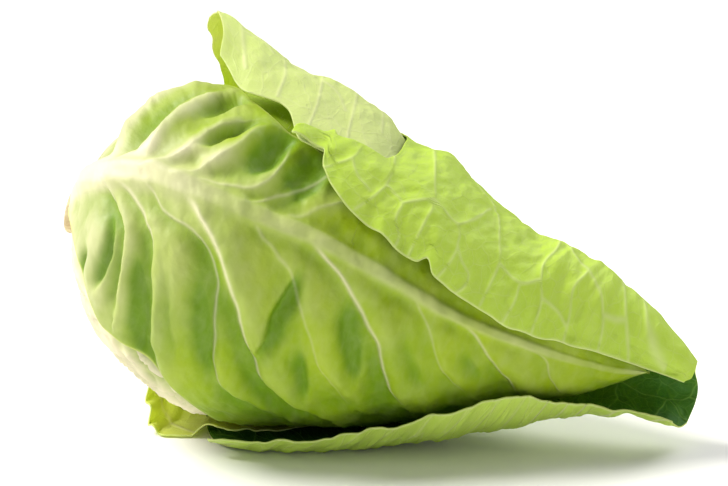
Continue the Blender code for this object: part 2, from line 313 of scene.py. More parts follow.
class Nodes:
    """Short helpers over one material's node tree."""

    def __init__(self, name):
        self.material = bpy.data.materials.new(name)
        self.material.use_nodes = True
        self.tree = self.material.node_tree
        self.tree.nodes.clear()

    def add(self, kind, **settings):
        node = self.tree.nodes.new(kind)
        for key, value in settings.items():
            setattr(node, key, value)
        return node

    def link(self, a, b):
        self.tree.links.new(a, b)

    def value(self, name):
        node = self.add("ShaderNodeAttribute", attribute_name=name)
        return node.outputs["Fac"]

    def vector(self, name):
        node = self.add("ShaderNodeAttribute", attribute_name=name)
        return node.outputs["Vector"]

    def put(self, socket, value):
        if isinstance(value, (int, float, tuple)):
            socket.default_value = value
        else:
            self.link(value, socket)

    def maths(self, operation, a, b=0.0, clamp=False):
        node = self.add("ShaderNodeMath", operation=operation, use_clamp=clamp)
        self.put(node.inputs[0], a)
        self.put(node.inputs[1], b)
        return node.outputs[0]

    def mix(self, amount, a, b, blend="MIX"):
        node = self.add("ShaderNodeMix", data_type="RGBA", blend_type=blend)
        self.put(node.inputs["Factor"], amount)
        self.put(node.inputs["A"], a)
        self.put(node.inputs["B"], b)
        return node.outputs["Result"]

    def split(self, where):
        node = self.add("ShaderNodeSeparateXYZ")
        self.put(node.inputs[0], where)
        return node.outputs[0], node.outputs[1], node.outputs[2]

    def stretch(self, where, by):
        node = self.add("ShaderNodeVectorMath", operation="MULTIPLY")
        self.put(node.inputs[0], where)
        node.inputs[1].default_value = by
        return node.outputs[0]

    def fade(self, away):
        """1 where away is 0, falling off exponentially."""
        return self.maths("POWER", 2.718, self.maths("MULTIPLY", away, -1.0))

    def line(self, name, squared=False):
        """A soft line from an attribute that holds (distance mm, strength, width mm).

        squared says that the attribute holds the square of the distance.
        """
        distance, strength, width = self.split(self.vector(name))
        away = self.maths("DIVIDE", distance, self.maths("MAXIMUM", width, 0.05))
        if squared:
            away = self.maths("DIVIDE", away, self.maths("MAXIMUM", width, 0.05))
        else:
            away = self.maths("MULTIPLY", away, away)
        return self.maths("MULTIPLY", strength, self.fade(away))

    def noise(self, where, scale, detail=3.0, rough=0.55, warp=0.0):
        node = self.add("ShaderNodeTexNoise")
        self.put(node.inputs["Vector"], where)
        node.inputs["Scale"].default_value = scale
        node.inputs["Detail"].default_value = detail
        node.inputs["Roughness"].default_value = rough
        node.inputs["Distortion"].default_value = warp
        return node.outputs["Fac"]

    def ramp(self, amount, stops):
        node = self.add("ShaderNodeValToRGB")
        node.color_ramp.elements[0].position = stops[0][0]
        node.color_ramp.elements[0].color = (*[stops[0][1]] * 3, 1.0)
        node.color_ramp.elements[1].position = stops[-1][0]
        node.color_ramp.elements[1].color = (*[stops[-1][1]] * 3, 1.0)
        for position, level in stops[1:-1]:
            element = node.color_ramp.elements.new(position)
            element.color = (*[level] * 3, 1.0)
        self.put(node.inputs["Fac"], amount)
        return node.outputs["Color"]

    def net(self, where, scale, width, warp=0.004, seed=0.0):
        """1 on the lines of an irregular polygon net, 0 in its meshes."""
        bend = self.add("ShaderNodeTexNoise")
        self.put(bend.inputs["Vector"], where)
        bend.inputs["Scale"].default_value = scale * 1.1
        bend.inputs["Detail"].default_value = 2.0
        centred = self.add("ShaderNodeVectorMath", operation="SUBTRACT")
        self.link(bend.outputs["Color"], centred.inputs[0])
        centred.inputs[1].default_value = (0.5, 0.5, 0.5)
        scaled = self.add("ShaderNodeVectorMath", operation="SCALE")
        self.link(centred.outputs[0], scaled.inputs[0])
        scaled.inputs["Scale"].default_value = warp
        moved = self.add("ShaderNodeVectorMath", operation="ADD")
        self.put(moved.inputs[0], where)
        self.link(scaled.outputs[0], moved.inputs[1])
        shifted = self.add("ShaderNodeVectorMath", operation="ADD")
        self.link(moved.outputs[0], shifted.inputs[0])
        shifted.inputs[1].default_value = (seed, seed * 0.7, 0.0)
        cells = self.add("ShaderNodeTexVoronoi", feature="DISTANCE_TO_EDGE", voronoi_dimensions="2D")
        self.link(shifted.outputs[0], cells.inputs["Vector"])
        cells.inputs["Scale"].default_value = scale
        cells.inputs["Randomness"].default_value = 0.9
        line = self.maths("DIVIDE", cells.outputs["Distance"], width)
        line = self.maths("MINIMUM", line, 1.0)
        line = self.maths("SUBTRACT", 1.0, line)
        return self.maths("POWER", line, 1.6)


def leaf_material(name, body, deep, pale, vein, net_strength, net_scale, gloss, through_light,
                  glow, bump=1.0):
    """Leaf tissue: green blade, pale base and ribs, fine veins, small blisters, bright margin. On the
    front, lower and hood sheets the pale and deep tones also hold painted shade and painted light.

    Each sheet carries rib_a and rib_b as (distance mm, strength, width mm), mesh_veins as the same
    with its distance squared, tone as (pale, deep, net), margin as roughly how many mm the nearest
    side margin is away, and flat as the place on the leaf spread flat.
    """
    n = Nodes(name)
    flat = n.vector("flat")
    tone = n.split(n.vector("tone"))
    margin = n.value("margin")
    ribs = n.maths("MAXIMUM", n.line("rib_a"), n.line("rib_b"))
    drawn = n.line("mesh_veins", squared=True)
    broad = n.noise(flat, 30.0, 3.0)
    fine = n.noise(flat, 300.0, 4.0, 0.6)
    streak = n.noise(n.stretch(flat, (2.2, 1.0, 1.0)), 110.0, 3.0, 0.55)
    patch = n.ramp(broad, [(0.32, 0.0), (0.68, 1.0)])
    blade = n.mix(n.maths("MULTIPLY", patch, 0.40), body, deep)
    # tone's deep share: on the front and lower leaves mostly painted shade in hollows, folds and under
    # other leaves.
    blade = n.mix(tone[1], blade, deep)
    big = n.net(flat, net_scale, 0.050, 0.010, 0.0)
    small = n.net(flat, net_scale * 2.4, 0.070, 0.004, 3.1)
    tiny = n.net(flat, net_scale * 7.0, 0.16, 0.002, 7.7)
    lines = n.maths("MAXIMUM", n.maths("MULTIPLY", big, tone[2]), n.maths("MULTIPLY", small, 0.45))
    lines = n.maths("MAXIMUM", lines, n.maths("MULTIPLY", tiny, 0.20))
    lines = n.maths("MAXIMUM", n.maths("MULTIPLY", lines, net_strength), drawn)
    blade = n.mix(n.maths("MULTIPLY", lines, 0.60, True), blade, vein)
    blade = n.mix(n.maths("MULTIPLY", n.ramp(streak, [(0.40, 0.0), (0.72, 1.0)]), 0.06), blade, pale)
    # tone's pale share: on some sheets partly painted highlight and painted light.
    blade = n.mix(tone[0], blade, pale)
    blade = n.mix(n.maths("MULTIPLY", ribs, 0.62, True), blade, pale)
    rimline = n.maths("DIVIDE", margin, 0.55)
    rimline = n.fade(n.maths("MULTIPLY", rimline, rimline))
    blade = n.mix(n.maths("MULTIPLY", rimline, 0.75), blade, vein)
    skin = n.add("ShaderNodeBsdfPrincipled")
    n.link(blade, skin.inputs["Base Color"])
    n.link(n.maths("ADD", gloss, n.maths("MULTIPLY", fine, 0.22)), skin.inputs["Roughness"])
    skin.inputs["IOR"].default_value = 1.40
    skin.inputs["Specular IOR Level"].default_value = 0.35
    height = n.maths("MULTIPLY", lines, 0.00030)
    height = n.maths("ADD", height, n.maths("MULTIPLY", ribs, 0.00045))
    height = n.maths("ADD", height, n.maths("MULTIPLY", n.noise(flat, 130.0, 3.0), 0.00055 * bump))
    height = n.maths("ADD", height, n.maths("MULTIPLY", streak, 0.00015 * bump))
    height = n.maths("ADD", height, n.maths("MULTIPLY", fine, 0.00012 * bump))
    lump = n.add("ShaderNodeBump")
    lump.inputs["Strength"].default_value = 1.0
    lump.inputs["Distance"].default_value = 1.0
    n.link(height, lump.inputs["Height"])
    n.link(lump.outputs["Normal"], skin.inputs["Normal"])
    lit = n.add("ShaderNodeBsdfTranslucent")
    n.link(n.mix(glow, blade, colour(196, 222, 20)), lit.inputs["Color"])
    n.link(lump.outputs["Normal"], lit.inputs["Normal"])
    both = n.add("ShaderNodeMixShader")
    both.inputs["Fac"].default_value = through_light
    n.link(skin.outputs["BSDF"], both.inputs[1])
    n.link(lit.outputs["BSDF"], both.inputs[2])
    out = n.add("ShaderNodeOutputMaterial")
    n.link(both.outputs[0], out.inputs["Surface"])
    return n.material


CREAM = colour(245, 235, 206)
VEIN = colour(218, 232, 140)

head_outer = leaf_material("head_leaf_outer", colour(160, 184, 22), colour(106, 144, 6), CREAM,
                           colour(212, 222, 120), 0.10, 34.0, 0.40, 0.08, 0.5, 0.8)
head_inner = leaf_material("head_leaf_inner", colour(176, 204, 50), colour(130, 172, 30), CREAM,
                           VEIN, 0.3, 40.0, 0.42, 0.20, 0.5, 0.6)
hood_outer = leaf_material("wrapper_leaf_outer", colour(207, 237, 86), colour(188, 226, 60), CREAM,
                           colour(234, 244, 172), 0.60, 58.0, 0.40, 0.32, 0.4)
# The wrapper's inner face: its own darker green, made darker still to stand for the shade inside the
# hood's tip, so partly painted shade.
hood_inner = leaf_material("wrapper_leaf_inner", colour(52, 110, 36), colour(24, 78, 28),
                           colour(96, 150, 52), colour(150, 190, 90), 0.8, 52.0, 0.40, 0.22, 0.5)
# The loose leaves: partly their own yellow green, partly painted light, made brighter to stand for
# light shining through them in the shade under the head.
frill = leaf_material("loose_leaf_surface", colour(234, 240, 70), colour(210, 226, 36), CREAM,
                      colour(240, 244, 160), 0.5, 60.0, 0.42, 0.55, 0.4)
rim = leaf_material("leaf_rim", colour(222, 236, 130), colour(206, 228, 100), CREAM, VEIN, 0.1, 60.0,
                    0.45, 0.35, 0.3, 0.3)

# ---------------------------------------------------------------------------
# Front head leaf
# ---------------------------------------------------------------------------
# Lower and upper margin and midrib, as (station, angle)
FRONT_LOWER = [(0.0, 10), (0.08, -12), (0.15, -31), (0.23, -33), (0.30, -48), (0.36, -72),
               (0.45, -95), (0.90, -100), (1.0, -70)]
FRONT_UPPER = [(0.0, 75), (0.08, 96), (0.20, 92), (0.27, 76), (0.36, 63), (0.45, 60),
               (0.60, 72), (0.90, 85), (1.0, 60)]
MIDRIB = [(0.0, 41), (0.08, 35), (0.17, 34.5), (0.23, 32), (0.31, 30), (0.46, 27.5), (0.52, 25),
          (0.62, 19), (0.70, 14), (0.79, 10), (0.89, 3), (0.98, -6)]
# (points, rib strength, rib width mm, depth mm of the valley beside it, its width mm).
# A negative depth raises a ridge along the line instead.
LOW_RIBS = [
    ([(0.075, 35), (0.12, 20), (0.15, 12), (0.16, 0), (0.165, -22)], 0.8, 0.55, 5.0, 3.4),
    ([(0.10, 35), (0.16, 22), (0.195, 14), (0.215, 0), (0.23, -20), (0.265, -40), (0.32, -62)],
     0.9, 0.60, 5.4, 4.2),
    ([(0.14, 34), (0.20, 24), (0.27, 18), (0.31, 8), (0.33, -10), (0.36, -34), (0.40, -46),
      (0.45, -58)], 0.6, 0.60, 4.2, 4.4),
    ([(0.22, 32), (0.28, 22), (0.325, 10), (0.36, -3), (0.39, -16), (0.42, -30), (0.46, -43),
      (0.52, -56)], 1.0, 0.85, 6.8, 5.2),
    ([(0.33, 29), (0.41, 15), (0.465, -4), (0.51, -24), (0.56, -44)], 0.30, 0.6, 2.4, 5.0),
    ([(0.42, 28), (0.485, 20), (0.54, 6), (0.58, -8), (0.61, -30), (0.64, -48)], 0.9, 0.60, 4.6, 5.0),
    ([(0.53, 24), (0.61, 17), (0.65, 2), (0.68, -18), (0.73, -38)], 0.3, 0.5, 2.4, 4.4),
    ([(0.64, 17), (0.70, 12), (0.755, -9), (0.80, -42)], 0.6, 0.55, 2.2, 4.0),
    ([(0.75, 11), (0.81, 6), (0.84, -20), (0.87, -47)], 0.35, 0.5, 1.5, 3.4),
]
HIGH_RIBS = [
    ([(0.03, 44), (0.07, 49), (0.08, 66), (0.10, 86), (0.15, 92), (0.20, 87)], 0.0, 1.0, -5.2, 5.6),
    ([(0.08, 40), (0.14, 46), (0.165, 57), (0.19, 68), (0.215, 78), (0.23, 83)], 0.0, 1.0, -4.8, 4.8),
    ([(0.09, 37), (0.17, 38), (0.205, 44), (0.23, 56), (0.27, 62), (0.32, 68)], 0.3, 0.7, -3.4, 4.0),
    ([(0.16, 35), (0.23, 36), (0.255, 41), (0.275, 48), (0.293, 57), (0.32, 66)], 0.3, 0.7, -3.2, 4.0),
    ([(0.22, 32), (0.31, 37), (0.34, 41), (0.356, 50), (0.36, 61)], 0.45, 0.7, -2.4, 4.2),
    ([(0.30, 30), (0.37, 38), (0.41, 47), (0.43, 54), (0.45, 64)], 0.4, 0.7, -2.2, 4.6),
    ([(0.38, 28.5), (0.44, 41), (0.47, 46), (0.52, 60)], 0.3, 0.6, -1.8, 4.6),
]
# (points, depth mm, width mm, steep side: 1 is to the left of the way the points run)
FOLDS = [
    ([(0.085, 44), (0.12, 53), (0.135, 66), (0.155, 74), (0.21, 82)], 4.6, 4.4, -1),
    ([(0.19, 60), (0.23, 71), (0.25, 75), (0.28, 77)], 4.6, 4.2, -1),
    ([(0.20, 45), (0.25, 54), (0.285, 61), (0.32, 68)], 4.0, 3.6, -1),
    ([(0.295, 39), (0.338, 50), (0.35, 58), (0.365, 68)], 4.4, 4.6, -1),
    ([(0.36, 33), (0.40, 42), (0.42, 54), (0.43, 64)], 3.2, 5.4, -1),
    ([(0.10, 20), (0.128, 6), (0.126, -5), (0.112, -22)], 3.6, 2.8, 1),
    ([(0.165, 10), (0.198, -7), (0.208, -20), (0.222, -36)], 3.8, 2.8, 1),
    ([(0.435, 22), (0.425, 4), (0.41, -10), (0.40, -26)], 4.4, 3.0, -1),
    ([(0.225, 13), (0.25, -6), (0.27, -23), (0.28, -36)], 1.6, 3.6, 1),
    ([(0.27, 9), (0.30, -2), (0.318, -13), (0.34, -34)], 2.0, 3.0, 1),
    ([(0.515, 14), (0.53, 0), (0.548, -14), (0.555, -34)], 3.2, 3.4, 1),
    ([(0.60, 8), (0.63, -14), (0.66, -34)], 2.0, 4.0, 1),
    ([(0.69, 4), (0.72, -14), (0.74, -30)], 1.4, 3.6, 1),
    ([(0.085, 2), (0.088, -14), (0.095, -28)], 2.6, 2.4, 1),
    ([(0.45, -6), (0.47, -22), (0.48, -44)], 2.6, 3.0, 1),
]


def ribs_of(S, PHI, ribs, turn):
    """(signed distance, strength, width) of the nearest rib, and the relief of the valleys beside them.

    The sign flips from one rib to the next, so that it changes only on a rib.
    """
    nearest = np.full(S.shape, 1e9)
    lines = np.zeros(S.shape + (3,))
    lines[..., 0] = 50.0
    lines[..., 2] = 1.0
    relief = np.zeros(S.shape)
    for i, (points, strength, width, valley, broad) in enumerate(ribs):
        d, t, side = reach(S, PHI, points)
        start, taper = smooth(t / 0.10), smooth((1.0 - t) / 0.25)
        signed = d * side * (-1) ** i
        near = d < nearest
        nearest = np.where(near, d, nearest)
        lines[..., 0] = np.where(near, signed, lines[..., 0])
        lines[..., 1] = np.where(near, strength * start * taper * (1 - 0.35 * t), lines[..., 1])
        lines[..., 2] = np.where(near, width * (1.35 - 0.6 * t), lines[..., 2])
        along = start * (0.25 + 0.75 * smooth(t / 0.45)) * (0.35 + 0.65 * taper)
        if valley > 0:
            beside = d * side * turn - 0.36 * broad
            dip = np.exp(-((beside / np.where(beside < 0, 0.50, 1.7) / broad) ** 2))
            bulge = np.exp(-(((d * side * turn + 0.95 * broad) / (1.15 * broad)) ** 2))
            relief = relief - valley * along * (0.80 * dip - 0.42 * bulge)
        else:
            ridge = np.exp(-((d / broad) ** 2)) - 0.4 * np.exp(-((d / (2.3 * broad)) ** 2))
            relief = relief - valley * along * ridge
        if strength > 0:
            relief = relief + 0.55 * strength * start * taper * np.exp(-((d / 1.9) ** 2))
    return lines, relief


def front_relief(S, PHI):
    """Height in mm, rib lines and tones of the front leaf; the tones hold painted shade in its hollows,
    folds and lower part and under the hood, and a painted highlight on its raised parts.
    """
    x = arc(S)
    y = np.radians(PHI) * radius(S) / MM
    d, t, _ = reach(S, PHI, MIDRIB)
    width = through([(0, 7.0), (0.12, 6.0), (0.3, 4.4), (0.6, 2.8), (1.0, 1.4)], t)
    tall = through([(0, 2.2), (0.12, 2.6), (0.3, 2.2), (0.6, 1.3), (1.0, 0.4)], t)
    midrib = np.exp(-((d / width) ** 4))
    height = tall * midrib - 0.35 * tall * np.exp(-(((d - 1.9 * width) / (0.9 * width)) ** 2))
    pale = midrib * through([(0, 0.95), (0.12, 0.85), (0.20, 0.60), (0.33, 0.32), (0.6, 0.26),
                             (1.0, 0.2)], t)
    drift = noise(x, y, 15, 31, 2)
    near_s, near_phi = S + 0.0042 * drift, PHI + 1.1 * noise(x, y, 13, 33, 2)
    rib_a, low = ribs_of(near_s, near_phi, LOW_RIBS, -1)
    rib_b, high = ribs_of(near_s, near_phi, HIGH_RIBS, 1)
    above = smooth((PHI - through([(0, 36), (0.2, 31), (0.5, 24), (1, 0)], S)) / 8 + 0.5)
    height = height + low * (1 - above) + high * above
    rib_a[..., 1] *= 1 - midrib
    rib_b[..., 1] *= 1 - midrib
    deep = np.zeros(S.shape)
    for points, depth, wide, steep in FOLDS:
        d, t, side = reach(near_s, near_phi, points)
        ends = smooth(t / 0.45) * smooth((1 - t) / 0.40)
        wide = wide * np.where(side * steep > 0, 0.55, 1.45)
        height = height - 1.15 * depth * np.exp(-((d / wide) ** 2)) * ends
        # Painted shade: each fold also darkens the leaf's colour along its valley, through deep.
        deep = np.maximum(deep, 0.20 * depth * np.exp(-((d / (1.3 * wide)) ** 2)) * ends)
    height = height + 1.10 * noise(x, y, 21, 5) + 0.40 * noise(x + 0.4 * y, y * 0.6, 8, 11)
    height = height + 0.22 * noise(x + 0.2 * y, y * 0.5, 3.6, 12, 2)
    shorter = 1 + 0.9 * smooth((10 - PHI) / 45) + 4.2 * smooth((PHI - 44) / 20)
    base = np.exp(-((x / 90) ** 2) * shorter)
    crest = smooth((PHI - 34) / 14) * smooth((0.34 - S) / 0.12)
    crest = crest * (0.35 + 0.65 * np.clip(high / 2.2, 0, 1))
    # Painted shade and painted highlight: the colour is made less pale and deeper green in the hollows
    # off the midrib, and a little paler on the raised parts.
    hollow = np.clip(-height / 3.6, 0, 1) * (1 - midrib)
    pale = np.clip(np.maximum(pale, 0.97 * base) + 0.46 * crest + 0.08 * noise(x, y, 16, 21), 0, 0.95)
    pale = (pale * (1 - 0.5 * hollow)) ** 1.25 + 0.07 * np.clip(height / 2.6, 0, 1)
    pale = np.clip(pale, 0, 0.95)
    deep = (deep + 0.80 * hollow) * (1 - 0.6 * smooth((PHI - 38) / 10) * smooth((0.32 - S) / 0.06))
    # Painted shade: deeper green on the lower part towards the tip, which faces down away from the
    # light.
    deep = np.clip(deep + 0.55 * smooth((-18 - PHI) / 40) * smooth((S - 0.2) / 0.2), 0, 1)
    # Painted shade: deeper green on the upper part from about a third of the length on, under the
    # hood's margin.
    deep = np.clip(deep + 0.35 * smooth((PHI - 38) / 14) * smooth((S - 0.27) / 0.08), 0, 1)
    return height, rib_a, rib_b, pale * (1 - 0.85 * deep * (1 - midrib)), deep


def still(S):
    """A line attribute with no line in it."""
    return np.stack([S * 0 + 50.0, S * 0, S * 0 + 1.0], -1)


def dressed(S, PHI, rib_a, rib_b, pale, deep, net, margin, veins=None):
    """The attributes that leaf_material reads."""
    tone = np.stack([pale, S * 0 + deep, S * 0 + net], -1)
    return dict(rib_a=rib_a, rib_b=rib_b, mesh_veins=still(S) if veins is None else veins, tone=tone,
                margin=margin, flat=flat_place(S, PHI))


def front_leaf():
    v, q = grid(330, 300)
    S = spread(0.0045, 0.992, v)
    wave = 1.4 * lattice(arc(S) / 13, q * 0 + 3.5, 41)
    low = through(FRONT_LOWER, S) + wave
    high = through(FRONT_UPPER, S) + 0.7 * wave
    PHI = low + (high - low) * q
    height, rib_a, rib_b, pale, deep = front_relief(S, PHI)
    margin = np.minimum(q, 1 - q) * np.radians(high - low) * radius(S) / MM
    height = height * smooth(0.25 + margin / 8) * (0.15 + 0.85 * smooth((arc(S) - 6) / 34))
    height = np.where(height < -2.0, -2.0 + 3.1 * np.tanh((height + 2.0) / 3.1), height)
    lift = FRONT_LIFT + height * MM + FRONT_FACE
    near_top = np.exp(-(((PHI - 84) / 24) ** 2))
    lift = lift + 2.6 * MM * np.exp(-(((S - 0.16) / 0.06) ** 2)) * near_top
    lift = lift - 2.6 * MM * np.exp(-(((S - 0.03) / 0.045) ** 2)) * smooth((PHI - 30) / 40)
    lift = lift - 2.6 * MM * smooth((S - 0.93) / 0.06)
    points = place(S, PHI, lift)
    fields = dressed(S, PHI, rib_a, rib_b, pale, deep, 0.6, margin)
    sheet("front_leaf_blade", "front_head_leaf", points, fields,
          [head_outer, head_inner, rim], HEAD_SHEET)


front_leaf()


# ---------------------------------------------------------------------------
# The two head leaves behind it
# ---------------------------------------------------------------------------
def radiating(S, PHI, middle, count, seed):
    """Relief in mm, rib lines and paleness of a midrib at angle middle and the ribs that leave it."""
    x = arc(S)
    across = np.radians(PHI - middle) * np.maximum(radius(S), 0.012) / MM
    width = 4.8 - 3.0 * np.clip(S, 0, 1)
    midrib = np.exp(-((across / width) ** 4))
    height = 2.2 * (1 - 0.6 * S) * midrib
    rib_a = np.stack([across, (0.9 - 0.5 * S) * (1 + 0 * x), 0.55 * width], -1)
    lean = x - 0.95 * np.abs(across) + 3.0 * lattice(across / 26, x / 40, seed)
    gap = 232.0 / count
    phase = (lean / gap + 0.27 * np.sign(across) + 0.25 * lattice(across / 40, x / 60, seed + 1)) % 1.0
    away = (phase - 0.5) * gap * 0.72
    taper = smooth((np.abs(across) - 2) / 8) * (1 - 0.6 * smooth((np.abs(across) - 30) / 40))
    height = height + (0.5 * np.exp(-((away / 1.9) ** 2)) + 1.2 * np.exp(-((away / 5) ** 2))) * taper
    rib_b = np.stack([away, 0.75 * taper, 0.9 - 0.2 * S], -1)
    height = height + 0.5 * noise(x, across, 20, seed + 2)
    pale = np.exp(-((x / 60) ** 2)) + 0.5 * np.exp(-((across / 12) ** 2)) * (1 - S)
    pale = np.clip(pale + 0.08 * noise(x, across, 15, seed + 3), 0, 0.95)
    return height, rib_a, rib_b, pale


def back_leaf():
    v, q = grid(170, 180)
    S = spread(0.0045, 0.93, v)
    first, span = 28, 226
    PHI = first + span * q
    height, rib_a, rib_b, pale = radiating(S, PHI, 150, 11, 61)
    under_front = smooth((through(FRONT_UPPER, S) + 4 - PHI) / 7)
    margin = np.minimum(q, 1 - q) * span * MM_PER_DEGREE
    lift = BACK_HEAD_LIFT + BACK_FACE + height * MM * 0.7 * smooth(margin / 12)
    lift = lift + (UNDER_FRONT_LIFT - lift) * under_front
    points = place(S, PHI, lift)
    fields = dressed(S, PHI, rib_a, rib_b, pale * smooth((PHI - 70) / 30), 0.4, 0.6, margin)
    sheet("back_leaf_blade", "back_head_leaf", points, fields,
          [head_outer, head_inner, rim], HEAD_SHEET)


def lower_leaf():
    v, q = grid(150, 130)
    end = 0.60 - 0.12 * (2 * q - 1) ** 2
    S = spread(0.0045 + 0 * q, end, v)
    low = through([(0.0, -75), (0.2, -150), (0.6, -140)], S)
    high = through([(0.0, 12), (0.15, -5), (0.6, -15)], S)
    PHI = low + (high - low) * q
    height, rib_a, rib_b, pale = radiating(S, PHI, -62, 12, 81)
    under_front = smooth((PHI - through(FRONT_LOWER, S) + 5) / 7)
    margin = np.minimum(q, 1 - q) * (high - low) * MM_PER_DEGREE
    round_end = smooth((0.26 - S) / 0.10) * smooth((PHI + 130) / 50)
    x = arc(S)
    y = np.radians(PHI) * radius(S) / MM
    across, down = 0.56 * x + 0.83 * y, 0.83 * x - 0.56 * y
    across = across + 2.5 * noise(x, y, 22, 86)
    pleat = 1 - 2.4 * np.abs(noise(across, down * 0.24, 6.0, 87, 2))
    height = 0.4 * height + 1.6 * pleat + 0.6 * noise(x, y, 12, 88)
    lift = LOWER_HEAD_LIFT + height * MM * smooth(margin / 12)
    lift = lift - 0.0022 * round_end
    lift = lift + (UNDER_FRONT_LIFT - lift) * under_front
    lift = np.maximum(lift, DEEPEST_LIFT)
    points = place(S, PHI, lift)
    rib_b[..., 1] *= 0.3
    # Painted light and shade: paler on the pleats' crests, deeper green in their valleys and where the
    # leaf goes under the front leaf; a share of the leaf's own paleness is added too.
    pale_and_painted_pleat_light = np.clip(0.58 + 0.34 * pleat + 0.25 * pale, 0.2, 0.92) * (1 - 0.5 * under_front)
    deep = 0.35 * under_front + 0.3 * np.clip(-pleat, 0, 1)
    fields = dressed(S, PHI, rib_a, rib_b, pale_and_painted_pleat_light, deep, 0.4, margin)
    sheet("lower_leaf_blade", "lower_head_leaf", points, fields,
          [head_outer, head_inner, rim], HEAD_SHEET)


back_leaf()
lower_leaf()


# ---------------------------------------------------------------------------
# Wrapper leaves
# ---------------------------------------------------------------------------
# How far, in metres, the loose margins and the tip stand off the leaves below them
RUFFLE_LIFT = 0.0110
COLLAR_HEIGHT = 0.0270
HOOD_RIDGE = 0.0165
HOOD_TIP_RADIUS = 0.0150
STRIP_LIFT = 0.0100


def lower_wrapper():
    v, q = grid(200, 200)
    end = 0.62 - 0.20 * (2 * q - 1) ** 2
    S = spread(0.006 + 0 * q, end, v)
    high = through([(0.0, -112), (0.13, -106), (0.185, -97), (0.205, -86), (0.25, -77), (0.30, -75),
                    (0.34, -70), (0.62, -84)], S)
    x = arc(S)
    high = high + 2.0 * lattice(x / 8, q * 0 + 1.5, 89) + 0.9 * lattice(x / 3.5, q * 0 + 1.5, 90)
    low = through([(0.0, -128), (0.2, -172), (0.62, -150)], S)
    PHI = low + (high - low) * q
    loose = smooth((q - 0.55) / 0.45)
    stand = through([(0.175, 0.0), (0.20, 0.75), (0.23, 1.0), (0.27, 0.80), (0.31, 0.36),
                     (0.33, 0.20), (0.42, 0.16), (0.47, 0.0)], S)
    wave = 1.0 + 0.55 * lattice(x / 6, q * 3, 91) * loose + 0.22 * lattice(x / 2.8, q * 6, 92) * q
    height, rib_a, rib_b, pale = radiating(S, PHI, -112, 10, 95)
    margin = np.minimum(q, 1 - q) * (high - low) * MM_PER_DEGREE
    lift = LOWER_WRAPPER_LIFT + RUFFLE_LIFT * loose * stand * wave
    lift = lift + height * MM * 0.5 * smooth(margin / 10) * (1 - loose)
    points = place(S, PHI, lift)
    points[..., 2] = np.maximum(points[..., 2], LOWER_WRAPPER_FLOOR)
    pale = np.clip(pale * (1 - 0.9 * loose * stand) + 0.25 * loose, 0, 1)
    fields = dressed(S, PHI, rib_a, rib_b, pale, 0.0, 0.6, margin)
    sheet("lower_wrapper_blade", "lower_wrapper_leaf", points, fields,
          [frill, frill, rim], WRAPPER_SHEET)


# Veins of the margin that stands up, as (station, angle) points
COLLAR_VEINS = [
    [(0.19, 118), (0.215, 104), (0.23, 92), (0.245, 84)],
    [(0.225, 96), (0.25, 97), (0.27, 94)],
    [(0.25, 120), (0.265, 106), (0.285, 96), (0.30, 86), (0.305, 76)],
    [(0.285, 96), (0.31, 97), (0.335, 93)],
    [(0.31, 118), (0.335, 106), (0.35, 92), (0.365, 78), (0.37, 64)],
    [(0.35, 92), (0.38, 90), (0.405, 84)],
    [(0.375, 116), (0.395, 102), (0.415, 86), (0.43, 70)],
    [(0.43, 112), (0.45, 98), (0.47, 84)],
]


def vein_net(S, PHI, lines, strength, width):
    """(squared distance mm, strength, width mm) of the nearest line, and the plain distance."""
    nearest = np.full(S.shape, 1e3)
    for points in lines:
        nearest = np.minimum(nearest, reach(S, PHI, points)[0])
    d2 = np.minimum(nearest, 12.0) ** 2
    return np.stack([d2, S * 0 + strength, S * 0 + width], -1), nearest


